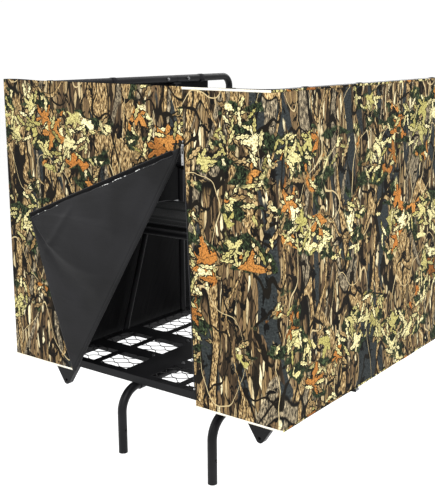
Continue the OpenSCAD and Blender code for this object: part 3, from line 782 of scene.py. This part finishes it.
def bindings(prefix, line, front, height, down, node, side_mat="camo"):
    """Cream tape along the front panel's part of an edge, camouflage along the wall's part."""
    dirs = outward(line)
    wall = [i for i in range(len(line)) if i not in front]
    wall = sorted(wall + [front[0] if wall[0] < front[0] else front[-1]])
    return [binding(prefix + part, [line[i] for i in ids], [dirs[i] for i in ids], height, down, node, mat)
            for part, ids, mat in (("_front", front, "binding"), ("_side", wall, side_mat))]


front_cols = range(RIGHT_FRONT_COLS + BEND_COLS)
TAPE_H = 0.006
top_line, hem_line = edge_of(right_verts, right_cols, right_rows - 1), edge_of(right_verts, right_cols, 0)
top_binding = bindings("top_binding", top_line, front_cols, TAPE_H, 1, "top_trim")
hem_right = bindings("hem_binding_right", hem_line, front_cols, TAPE_H, -1, "hem_trim")
left_cols = LEFT_WALL_COLS + BEND_COLS + LEFT_FRONT_COLS + 1
left_hem = [v.co.copy() for v in left.data.vertices[:left_cols]]
left_front = range(LEFT_WALL_COLS, left_cols)
hem_left = bindings("hem_binding_left", left_hem, left_front, TAPE_H, -1, "hem_trim", "tape")


# ---------------------------------------------------------------- door: flap, fold, zip
CORNER_RISE = 0.040          # the free corner is lifted a little by the stiff tape
cad_corner = min((v.co for v in nodes["door_flap"].data.vertices), key=lambda q: q.x)
corner = Vector((cad_corner.x, FLAP_Y, cad_corner.z + CORNER_RISE))
side = Vector((-FOLD.z, 0, FOLD.x))           # away from the opening, square to the fold
low_end = FOLD_END + side * 0.0015 + FOLD * 0.004
low_end.y = FLAP_Y
high_end = APEX - FOLD * 0.020 + side * 0.0015
high_end.y = FLAP_Y


def flap_out(t, w):
    """How far the flap stands out in front, from where it is along the fold and away from it."""
    sag = 0.009 * math.sin(math.pi * min(1, w * 1.05)) * math.sin(math.pi * (0.12 + 0.80 * t))
    crease = 0.0045 * bell(t - 0.46 + 0.25 * w, 0.035) * smooth01(w / 0.3) * smooth01((1 - w) / 0.2)
    crease += 0.0035 * bell(t - 0.62 - 0.10 * w, 0.03) * smooth01(w / 0.25) * smooth01((0.8 - w) / 0.3)
    crease -= 0.003 * bell(t - 0.30 + 0.12 * w, 0.05) * smooth01(w / 0.2)
    crease += 0.0025 * bell(w - 0.72 + 0.10 * t, 0.03) * smooth01(t / 0.3) * smooth01((0.9 - t) / 0.2)
    small = 0.0026 * ripple(t * 0.9, w * 0.6, 31.0) * smooth01(w / 0.15)
    return max(0.0, sag + crease + small)


def flap_point(t, w):
    foot = low_end.lerp(high_end, t)
    p = foot.lerp(corner, w)
    edge_wave = 0.0016 * math.sin(t * 17 + w * 3) * smooth01((w - 0.7) / 0.3) * (1 - t)
    p.y = FLAP_Y - flap_out(t, w) * smooth01(w / 0.12)
    p.z += edge_wave
    return p


def closed_uv(p):
    """Where the point lies on the front panel when the door is shut, for one unbroken print."""
    v = Vector((p.x - APEX.x, 0, p.z - APEX.z))
    q = 2 * v.dot(FOLD) * FOLD - v
    return (q.x + APEX.x + HALF + LEFT_PRINT + BEND_RUN, q.z + APEX.z - HEM)


T_ROWS, W_COLS = 110, 64
verts, uvs = [], []
for i in range(T_ROWS):
    for j in range(W_COLS):
        q = flap_point(i / (T_ROWS - 1), (j / (W_COLS - 1)) * 0.9985)
        verts.append(q)
        uvs.append(closed_uv(q))
flap = mesh_object("door_cloth", verts, grid_faces(T_ROWS, W_COLS), ["camo", "coated"], uvs)
thicken(flap, 1)
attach(flap, "door")
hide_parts("door_flap")

# the roll of cloth at the fold: from the front panel's edge round to the flap
ROLL_STEPS = 16
verts, uvs = [], []
for i in range(T_ROWS):
    t = i / (T_ROWS - 1)
    foot = low_end.lerp(high_end, t)
    tip = smooth01((1 - t) / 0.07)
    soft = 1 + 0.10 * ripple(t * 1.3, 0.2, 40.0)
    for k in range(ROLL_STEPS + 1):
        a = math.pi * k / ROLL_STEPS
        bulge = ROLL_R * (0.5 + 0.75 * soft) * math.sin(a) * (0.10 + 0.90 * tip)
        q = foot - side * bulge
        q.y = FOLD_Y + ROLL_R * math.cos(a)
        verts.append(q)
        base = closed_uv(foot)
        uvs.append((base[0], base[1]))
roll = mesh_object("door_fold_cloth", verts, grid_faces(T_ROWS, ROLL_STEPS + 1), ["camo", "coated"], uvs)
thicken(roll, 1)
mid = low_end.lerp(high_end, 0.5)
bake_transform(roll)
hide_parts("door_fold_roll")

# zip tape and teeth along the flap's free edge
tape_w = 0.0125
edge_from, edge_to = high_end, corner
way = (edge_to - edge_from).normalized()
inward = way.cross(Vector((0, 1, 0))).normalized()
if inward.dot(FOLD_END - edge_from) < 0:
    inward = -inward
EDGE_N = 150
start_t = 0.045
TAPE_SHAPE = ((-0.0015, 0.0), (0.0, 0.0009), (0.003, 0.0012), (tape_w - 0.003, 0.0011), (tape_w, 0.0007))


def tape_wave(w):
    return 0.0009 * math.sin(w * 47) + 0.0006 * math.sin(w * 90 + 1)


verts = []
for i in range(EDGE_N):
    w = start_t + (0.997 - start_t) * i / (EDGE_N - 1)
    q = flap_point(1.0, w)
    wave = tape_wave(w)
    for off, lift in TAPE_SHAPE:
        verts.append(q + inward * (off + wave * (off > 0.004)) + Vector((0, -lift - 0.0005, 0)))
tape = mesh_object("door_zip_tape_cloth", verts, grid_faces(EDGE_N, len(TAPE_SHAPE)), "tape")
with_modifier(tape, "SOLIDIFY", thickness=0.0006, offset=0.0)
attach(tape, "door")
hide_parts("door_zip_tape")


TOOTH_RING = ((-1, -0.6), (-0.6, -1), (0.6, -1), (1, -0.6), (1, 0.6), (0.6, 1), (-0.6, 1), (-1, 0.6))


def tooth(parts, at, along, out, front, mat=0, size=1.0):
    """One zip element: a stem on the tape and a rounded head, built as a loft."""
    rings = []
    for d, h, wdt in ((-0.0012, 0.0010, 0.0007), (0.0002, 0.0012, 0.0008), (0.0014, 0.0013, 0.0009),
                      (0.0022, 0.0012, 0.0010), (0.0028, 0.0007, 0.0007)):
        c = at + out * d * size
        rings.append([c + along * wdt * a * size + front * h * b * size for a, b in TOOTH_RING])
    parts.loft(rings, mat)


FRONT = Vector((0, -1, 0))
teeth = Parts()
edge_len = (edge_to - edge_from).length
pitch = 0.0031
count = int(edge_len * (0.997 - start_t) / pitch)
for i in range(count):
    w = start_t + (0.995 - start_t) * i / count
    q = flap_point(1.0, w) + Vector((0, -0.0002, 0))
    tooth(teeth, q, way, -inward, FRONT)
chain = teeth.make("door_zip_teeth", ["plastic"], True, 40)
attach(chain, "door")
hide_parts("door_zip_chain")
# a bead of piping where the tape is sewn to the cloth: its dashes of light are painted glints in its colour
bead = Parts()
path = []
for i in range(EDGE_N):
    w = start_t + (0.99 - start_t) * i / (EDGE_N - 1)
    path.append(flap_point(1.0, w) + inward * (tape_w + 0.0008 + tape_wave(w)) + Vector((0, -0.0012, 0)))
bead.tube(path, 0.0011, 6)
bead.tube([q - inward * (tape_w - 0.0035) - Vector((0, 0.0008, 0)) for q in path], 0.0021, 8, 1)
piping = bead.make("door_zip_piping", ["coil_painted_glints", "tape"])
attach(piping, "door")

# the half of the zip on the frame
zip_side = Vector((-ZIP.z, 0, ZIP.x))          # towards the right panel, square to the zip
ft_lo, ft_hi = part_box("frame_zip_tape")
fc_lo, fc_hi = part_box("frame_zip_chain")
tape_y, chain_y = (ft_lo.y + ft_hi.y) / 2, (fc_lo.y + fc_hi.y) / 2
zip_run = (APEX.z - ft_lo.z) / -ZIP.z - 0.0005
FRAME_TAPE_N = 120
verts = []
for i in range(FRAME_TAPE_N):
    d = zip_run * i / (FRAME_TAPE_N - 1)
    base = Vector((APEX.x, tape_y, APEX.z)) + ZIP * d
    wave = 0.0006 * math.sin(d * 31)
    for off, lift in ((-0.0015, 0.0), (0.001, 0.0004), (0.006, 0.0003 + wave), (0.011, 0.0), (0.0145, 0.0)):
        verts.append(base + zip_side * off + Vector((0, -lift, 0)))
ftape = mesh_object("frame_zip_tape_cloth", verts, grid_faces(FRAME_TAPE_N, 5), "tape")
with_modifier(ftape, "SOLIDIFY", thickness=0.0007, offset=0.0)
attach(ftape, "stand")
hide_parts("frame_zip_tape")
teeth = Parts()
for i in range(int(zip_run / pitch)):
    base = Vector((APEX.x, chain_y, APEX.z)) + ZIP * (pitch * (i + 0.5)) - zip_side * 0.0017
    tooth(teeth, base, ZIP, -zip_side, FRONT)
fchain = teeth.make("frame_zip_teeth", ["plastic"], True, 40)
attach(fchain, "stand")
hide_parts("frame_zip_chain")


# ---------------------------------------------------------------- hexagonal wire mesh in the platform
TWIST, SLANT, ROW = 0.016, 0.032, 0.026
WIRE_R = 0.0016


def clip(a, b, box):
    """The part of a segment inside a box in X and Y, or None."""
    t0, t1 = 0.0, 1.0
    d = b - a
    for k in (0, 1):
        if abs(d[k]) < 1e-9:
            if not box[0][k] <= a[k] <= box[1][k]:
                return None
        else:
            u0, u1 = (box[0][k] - a[k]) / d[k], (box[1][k] - a[k]) / d[k]
            t0, t1 = max(t0, min(u0, u1)), min(t1, max(u0, u1))
    return (a + d * t0, a + d * t1) if t1 - t0 > 0.02 else None


def mesh_boxes():
    """Each mesh panel's own corners, from the connected pieces of the CAD node."""
    me = nodes["mesh_panels"].data
    parent = list(range(len(me.vertices)))

    def find(i):
        while parent[i] != i:
            parent[i] = parent[parent[i]]
            i = parent[i]
        return i

    for e in me.edges:
        parent[find(e.vertices[0])] = find(e.vertices[1])
    spots = {}
    for v in me.vertices:
        spots.setdefault(tuple(round(c, 5) for c in v.co), []).append(v.index)
    for same in spots.values():
        for k in same[1:]:
            parent[find(k)] = find(same[0])
    groups = {}
    for v in me.vertices:
        groups.setdefault(find(v.index), []).append(v.co)
    boxes = [(Vector(map(min, *g)), Vector(map(max, *g))) for g in groups.values()]
    return sorted(boxes, key=lambda b: tuple(b[0]))


wires = Parts()
rng = random.Random(7)
for lo, hi in mesh_boxes():
    z = (lo.z + hi.z) / 2
    box = ((lo.x, lo.y), (hi.x, hi.y))
    px, py = rng.uniform(0, 0.04), rng.uniform(0, 0.03)
    step_x, rows = TWIST + SLANT, int((hi.y - lo.y) / ROW) + 3
    cols = int((hi.x - lo.x) / step_x) + 3
    jitter = {}

    def knot(c, r):
        if (c, r) not in jitter:
            jitter[c, r] = Vector((rng.uniform(-1, 1), rng.uniform(-1, 1), rng.uniform(-0.4, 0.4))) * 0.0016
        return Vector((lo.x - step_x + px + c * step_x, lo.y - ROW + py + r * ROW, z)) + jitter[c, r]

    for c in range(cols):
        for r in range(rows):
            if (c + r) % 2:
                continue
            k = knot(c, r)
            a, b = k - Vector((TWIST / 2, 0, 0)), k + Vector((TWIST / 2, 0, 0))
            part = clip(a, b, box)
            if part:
                for turn in (0, math.pi):
                    path = []
                    for i in range(9):
                        w = i / 8
                        q = part[0].lerp(part[1], w)
                        ang = turn + w * 2 * math.pi * 1.5
                        path.append(q + Vector((0, math.cos(ang), math.sin(ang))) * 0.0012)
                    wires.tube(path, 0.0013, 5)
            for dr in (1, -1):
                n = knot(c + 1, r + dr) - Vector((TWIST / 2, 0, 0))
                part = clip(b, n, box)
                if part:
                    bow = Vector((0, 0, rng.uniform(-0.0008, 0.0008)))
                    middle = part[0].lerp(part[1], 0.5) + bow
                    quarter, last = part[0].lerp(middle, 0.5), middle.lerp(part[1], 0.5)
                    wires.tube([part[0], quarter, middle, last, part[1]], WIRE_R, 5)
mesh = wires.make("platform_wire_mesh", ["wire"])
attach(mesh, "stand")
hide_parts("mesh_panels")


# ---------------------------------------------------------------- padded pieces
def run_cloth(obj, frames, pressure, cap, tension=18.0):
    """Inflates obj with the cloth solver, keeps every point within cap of where it began, and applies it."""
    rest = [v.co.copy() for v in obj.data.vertices]
    mod = obj.modifiers.new("cloth", "CLOTH")
    st = mod.settings
    st.quality = 5
    st.mass = 0.25
    st.tension_stiffness = st.compression_stiffness = tension
    st.shear_stiffness = 6.0
    st.bending_stiffness = 0.6
    st.use_pressure = True
    st.uniform_pressure_force = pressure
    st.effector_weights.gravity = 0.0
    mod.collision_settings.use_collision = False
    mod.point_cache.frame_start, mod.point_cache.frame_end = 1, frames
    scene = bpy.context.scene
    for f in range(1, frames + 1):
        scene.frame_set(f)
    dg = bpy.context.evaluated_depsgraph_get()
    moved = [v.co.copy() for v in obj.evaluated_get(dg).data.vertices]
    obj.modifiers.remove(mod)
    scene.frame_set(1)
    for v, a, b in zip(obj.data.vertices, rest, moved):
        d = b - a
        v.co = a + (d if d.length <= cap else d * (cap / d.length))
    obj.data.update()


PAD_CORNER = 0.030


def seat_pad():
    lo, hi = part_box("seat_cushion")
    w, d, h = hi.x - lo.x, hi.y - lo.y, hi.z - lo.z
    nx, ny, nz = 96, 42, 5
    grow = 0.006
    verts, index = [], {}

    def vert(i, j, k):
        if (i, j, k) not in index:
            a, b, c = i / nx * 2 - 1, j / ny * 2 - 1, k / nz
            edge = max(abs(a) ** 14, abs(b) ** 10)
            crown = 0.5 * (1 - edge)
            z = lo.z + 0.0006 + (h - 0.010) * (0.5 + (c - 0.5) * (0.42 + 0.58 * (1 - edge * 0.9)))
            if c < 0.5:
                z = lo.z + 0.0006 + (z - lo.z) * 0.35
            x, y = a * (w / 2 - grow), b * (d / 2 - grow)
            over_x, over_y = abs(x) - (w / 2 - grow - PAD_CORNER), abs(y) - (d / 2 - grow - PAD_CORNER)
            if over_x > 0 and over_y > 0:
                m = math.hypot(over_x, over_y)
                limit = max(over_x, over_y)
                x -= math.copysign(over_x - over_x / m * limit, x)
                y -= math.copysign(over_y - over_y / m * limit, y)
            index[i, j, k] = len(verts)
            verts.append(((lo.x + hi.x) / 2 + x, (lo.y + hi.y) / 2 + y, z + crown * 0.002 * (c > 0.5)))
        return index[i, j, k]

    faces = []
    for i in range(nx):
        for j in range(ny):
            faces.append((vert(i, j, nz), vert(i + 1, j, nz), vert(i + 1, j + 1, nz), vert(i, j + 1, nz)))
            faces.append((vert(i, j, 0), vert(i, j + 1, 0), vert(i + 1, j + 1, 0), vert(i + 1, j, 0)))
    for i in range(nx):
        for k in range(nz):
            faces.append((vert(i, 0, k), vert(i + 1, 0, k), vert(i + 1, 0, k + 1), vert(i, 0, k + 1)))
            faces.append((vert(i, ny, k), vert(i, ny, k + 1), vert(i + 1, ny, k + 1), vert(i + 1, ny, k)))
    for j in range(ny):
        for k in range(nz):
            faces.append((vert(0, j, k), vert(0, j, k + 1), vert(0, j + 1, k + 1), vert(0, j + 1, k)))
            faces.append((vert(nx, j, k), vert(nx, j + 1, k), vert(nx, j + 1, k + 1), vert(nx, j, k + 1)))
    obj = mesh_object("seat_pad", verts, faces, "vinyl")
    run_cloth(obj, 16, 3.0, 0.009)
    # sewn channels across the pad, and the base it rests on
    channels = [lo.y + d * f for f in (0.14, 0.50, 0.86)]
    for v in obj.data.vertices:
        c = v.co
        if c.z > lo.z + h * 0.45:
            for y in channels:
                c.z -= 0.0065 * bell(c.y - y, 0.007)
            c.z -= 0.0028 * abs(noise.noise(Vector((c.x * 14, c.y * 6, 3.0))))
        c.z = max(c.z, lo.z + 0.0005)
        c.x = min(max(c.x, lo.x - 0.0005), hi.x + 0.0005)
        c.y = min(max(c.y, lo.y - 0.004), hi.y + 0.004)
    with_modifier(obj, "SUBSURF", levels=1, render_levels=1)
    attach(obj, "seat")
    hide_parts("seat_cushion")
    # piping round the seam, and a row of stitches in each channel
    trim = Parts()
    ring = []
    r, inset, seam_z = PAD_CORNER, 0.0042, lo.z + h * 0.66
    corners = ((hi.x - r, lo.y + r, -90), (hi.x - r, hi.y - r, 0), (lo.x + r, hi.y - r, 90),
               (lo.x + r, lo.y + r, 180))
    for cx, cy, a0 in corners:
        for k in range(9):
            a = math.radians(a0 + 90 * k / 8)
            ring.append(Vector((cx + (r - inset) * math.cos(a), cy + (r - inset) * math.sin(a), seam_z)))
    trim.tube(ring, 0.0026, 8, 0, closed=True)
    for y in channels:
        x = lo.x + 0.03
        while x < hi.x - 0.03:
            near = (v.co.z for v in obj.data.vertices if abs(v.co.y - y) < 0.006 and abs(v.co.x - x) < 0.008)
            z = max(near, default=hi.z)
            stitch = [Vector((x, y, z - 0.0002)), Vector((x + 0.003, y, z + 0.0007)),
                      Vector((x + 0.006, y, z - 0.0002))]
            trim.tube(stitch, 0.0005, 5, 1)
            x += 0.0105
    extra = trim.make("seat_pad_piping", ["plastic", "binding"])
    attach(extra, "seat")


seat_pad()


def foam_sleeve():
    lo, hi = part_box("back_pad")
    cy, cz, r = (lo.y + hi.y) / 2, (lo.z + hi.z) / 2, (hi.y - lo.y) / 2
    part = Parts()
    rings, n = 120, 40
    verts = []
    for i in range(rings):
        w = i / (rings - 1)
        x = lo.x + (hi.x - lo.x) * w
        end = min(w, 1 - w) * (hi.x - lo.x)
        rad = r * (0.74 + 0.26 * smooth01(end / 0.012))
        for a in circle(n):
            seam = 0.0022 * bell(a - math.pi * 1.5, 0.10)
            dent = 0.0010 * noise.noise(Vector((x * 12, math.cos(a) * 1.2, math.sin(a) * 1.2)))
            rr = rad - seam + min(dent, 0.0)
            verts.append(Vector((x, cy + rr * math.cos(a), cz + rr * math.sin(a))))
    faces = grid_faces(rings, n, True)
    part.add(verts, faces)
    inner = 0.0135
    for i, flip in ((0, False), (rings - 1, True)):
        x = verts[i * n].x
        ring = [Vector((x, cy + inner * math.cos(a), cz + inner * math.sin(a))) for a in circle(n)]
        base = len(part.v)
        part.v += ring
        for k in range(n):
            q = (i * n + k, i * n + (k + 1) % n, base + (k + 1) % n, base + k)
            part.f.append(q if flip else tuple(reversed(q)))
            part.m.append(0)
    obj = part.make("back_foam_sleeve", ["foam"])
    with_modifier(obj, "SUBSURF", levels=1, render_levels=1)
    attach(obj, "stand")
    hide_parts("back_pad")


foam_sleeve()


# ---------------------------------------------------------------- straps, welds, caps
STRAP_RING = ((-0.5, 0), (-0.47, 0.5), (0, 0.55), (0.47, 0.5),
              (0.5, 0), (0.47, -0.5), (0, -0.5), (-0.47, -0.5))


# a tie's loop in degrees: more than a full turn, so that its tail overlaps
TIE_STEPS, TIE_FROM, TIE_SWEEP = 46, -100, 430


def rail_ties():
    """Webbing loops round the rail, each with an overlapping tail."""
    me = nodes["rail_ties"].data
    spots = []
    rail_lo, rail_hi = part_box("rail_front")
    rz = (rail_lo.z + rail_hi.z) / 2
    for v in me.vertices:
        for s in spots:
            if (v.co - s[0]).length < 0.05:
                s[1].append(v.co)
                break
        else:
            spots.append((v.co.copy(), [v.co]))
    parts = Parts()
    for _, pts in spots:
        lo, hi = Vector(map(min, *pts)), Vector(map(max, *pts))
        c = (lo + hi) / 2
        c.z = rz
        size = hi - lo
        along = Vector((1, 0, 0)) if size.x < size.y else Vector((0, 1, 0))
        across = Vector((0, 1, 0)) if size.x < size.y else Vector((1, 0, 0))
        width, rad = 0.025, 0.0158
        rows = []
        for i in range(TIE_STEPS):
            a = math.radians(TIE_FROM + TIE_SWEEP * i / (TIE_STEPS - 1))
            rr = rad + (0.0014 if i > 38 else 0.0) * smooth01((i - 38) / 4)
            tail = smooth01((i - 40) / 5) * 0.004
            centre = c + across * (rr + tail) * math.cos(a) + Vector((0, 0, (rr + tail) * math.sin(a)))
            normal = across * math.cos(a) + Vector((0, 0, math.sin(a)))
            rows.append([centre + along * width * s + normal * 0.0012 * h for s, h in STRAP_RING])
        parts.loft(rows)
    obj = parts.make("rail_tie_straps", ["webbing"], True, 50)
    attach(obj, "stand")
    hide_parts("rail_ties")


rail_ties()

POST_L, POST_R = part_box("rear_post_left"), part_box("rear_post_right")
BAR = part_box("back_bar")
FRAME_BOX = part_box("platform_frame")
welds = Parts()
rng = random.Random(3)


def weld_ring(centre, axis, radius, bead=0.0016):
    axis = Vector(axis).normalized()
    u = axis.orthogonal().normalized()
    v = axis.cross(u)
    path, radii = [], []
    for k, a in enumerate(circle(56)):
        wob = rng.uniform(-0.0002, 0.0002)
        out = (u * math.cos(a) + v * math.sin(a)) * (radius + wob)
        path.append(Vector(centre) + out + axis * rng.uniform(-0.0002, 0.0002))
        radii.append(bead * (0.85 + 0.25 * math.sin(k * math.pi) + 0.25 * abs(math.sin(k * 1.57))))
    welds.tube(path, radii, 6, 0, closed=True)


for lo, hi in (POST_L, POST_R):
    c = (lo + hi) / 2
    weld_ring((c.x, c.y, lo.z + 0.0008), (0, 0, 1), (hi.x - lo.x) / 2 + 0.0006)
for node in ("rail_rear_left", "rail_rear_right"):
    lo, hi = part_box(node)
    leg_r = (hi.x - lo.x) / 2
    weld_ring(((lo.x + hi.x) / 2, hi.y - leg_r, FRAME_BOX[1].z + 0.0008), (0, 0, 1), leg_r + 0.0006)
weld = welds.make("weld_beads", ["powder"])
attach(weld, "stand")

# how far each ring of a cap stands out of the bar's end, and its share of the bar's radius
CAP_SHAPE = ((-0.006, 0.84), (0.0, 0.86), (0.0002, 1.0), (0.0022, 1.0),
             (0.0034, 0.9), (0.0040, 0.5), (0.0042, 0.08))
caps = Parts()
for x, s in ((BAR[0].x, -1), (BAR[1].x, 1)):
    c = Vector((x, (BAR[0].y + BAR[1].y) / 2, (BAR[0].z + BAR[1].z) / 2))
    r = (BAR[1].y - BAR[0].y) / 2
    rings = []
    for d, share in CAP_SHAPE:
        rad = r * share
        rings.append([c + Vector((s * d, rad * math.cos(a), rad * math.sin(a) * s)) for a in circle(28)])
    caps.loft(rings)
cap = caps.make("back_bar_caps", ["plastic"], True, 45)
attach(cap, "stand")

# ---------------------------------------------------------------- finishes of the CAD pieces that stay
POWDER = """
tree_bracket platform_frame tread_plate cross_tubes ladder_tube_left ladder_tube_right ladder_saddles
brace_bracket_left brace_bracket_right strut_left strut_right
rail_front rail_rear_left rail_rear_right rail_sleeves rear_post_left rear_post_right
back_bar seat_rests seat_frame seat_slats
""".split()
FINISH = {n: "powder" for n in POWDER}
FINISH.update({n: "zinc" for n in ("platform_bolts", "strut_bolts", "rail_bolts", "seat_pins")})
FINISH.update({n: "nickel" for n in ("zip_stops", "zip_slider", "zip_pull")})
FINISH["seat_rest_pads"] = "plastic"
for name, obj in nodes.items():
    if name in FINISH:
        obj.data.materials.clear()
        obj.data.materials.append(MAT[FINISH[name]])
        for poly in obj.data.polygons:
            poly.material_index = 0

# ---------------------------------------------------------------- floor, light
FLOOR_Z = cad_lo.z - 0.75
FLOOR_HALF = 30


def floor():
    t = Tree("pale_floor")
    n = t.noise(t.obj(), 2.0, 3, 0.5)
    t.finish(t.ramp(n, [(0.3, (0.93, 0.93, 0.93)), (0.7, (0.96, 0.96, 0.96))]), 0.85, None)
    me = bpy.data.meshes.new("floor")
    corners = [(x * FLOOR_HALF, y * FLOOR_HALF, FLOOR_Z) for x, y in ((-1, -1), (1, -1), (1, 1), (-1, 1))]
    me.from_pydata(corners, [], [(0, 1, 2, 3)])
    me.materials.append(t.mat)
    obj = bpy.data.objects.new("floor", me)
    bpy.context.scene.collection.objects.link(obj)


floor()


def area_light(name, at, target, size, power, color=(1, 1, 1)):
    data = bpy.data.lights.new(name, "AREA")
    data.shape, data.size, data.energy, data.color = "DISK", size, power, color
    obj = bpy.data.objects.new(name, data)
    obj.location = at
    obj.rotation_mode = "QUATERNION"
    obj.rotation_quaternion = (Vector(target) - Vector(at)).to_track_quat("-Z", "Y")
    bpy.context.scene.collection.objects.link(obj)


mid = (cad_lo + cad_hi) / 2
area_light("key", (2.6, -4.2, 3.6), mid, 3.0, 170)
area_light("fill", (-3.8, -3.4, 2.4), mid, 3.5, 100)
area_light("side", (4.6, -0.4, 2.0), mid, 3.0, 60)
area_light("back", (-1.0, 4.5, 3.4), mid, 3.0, 90)

world = bpy.data.worlds.new("world")
world.use_nodes = True
background = world.node_tree.nodes["Background"]
background.inputs[0].default_value = (1.0, 1.0, 1.0, 1)
background.inputs[1].default_value = 1.04
bpy.context.scene.world = world
bpy.context.scene.view_settings.view_transform = "Standard"
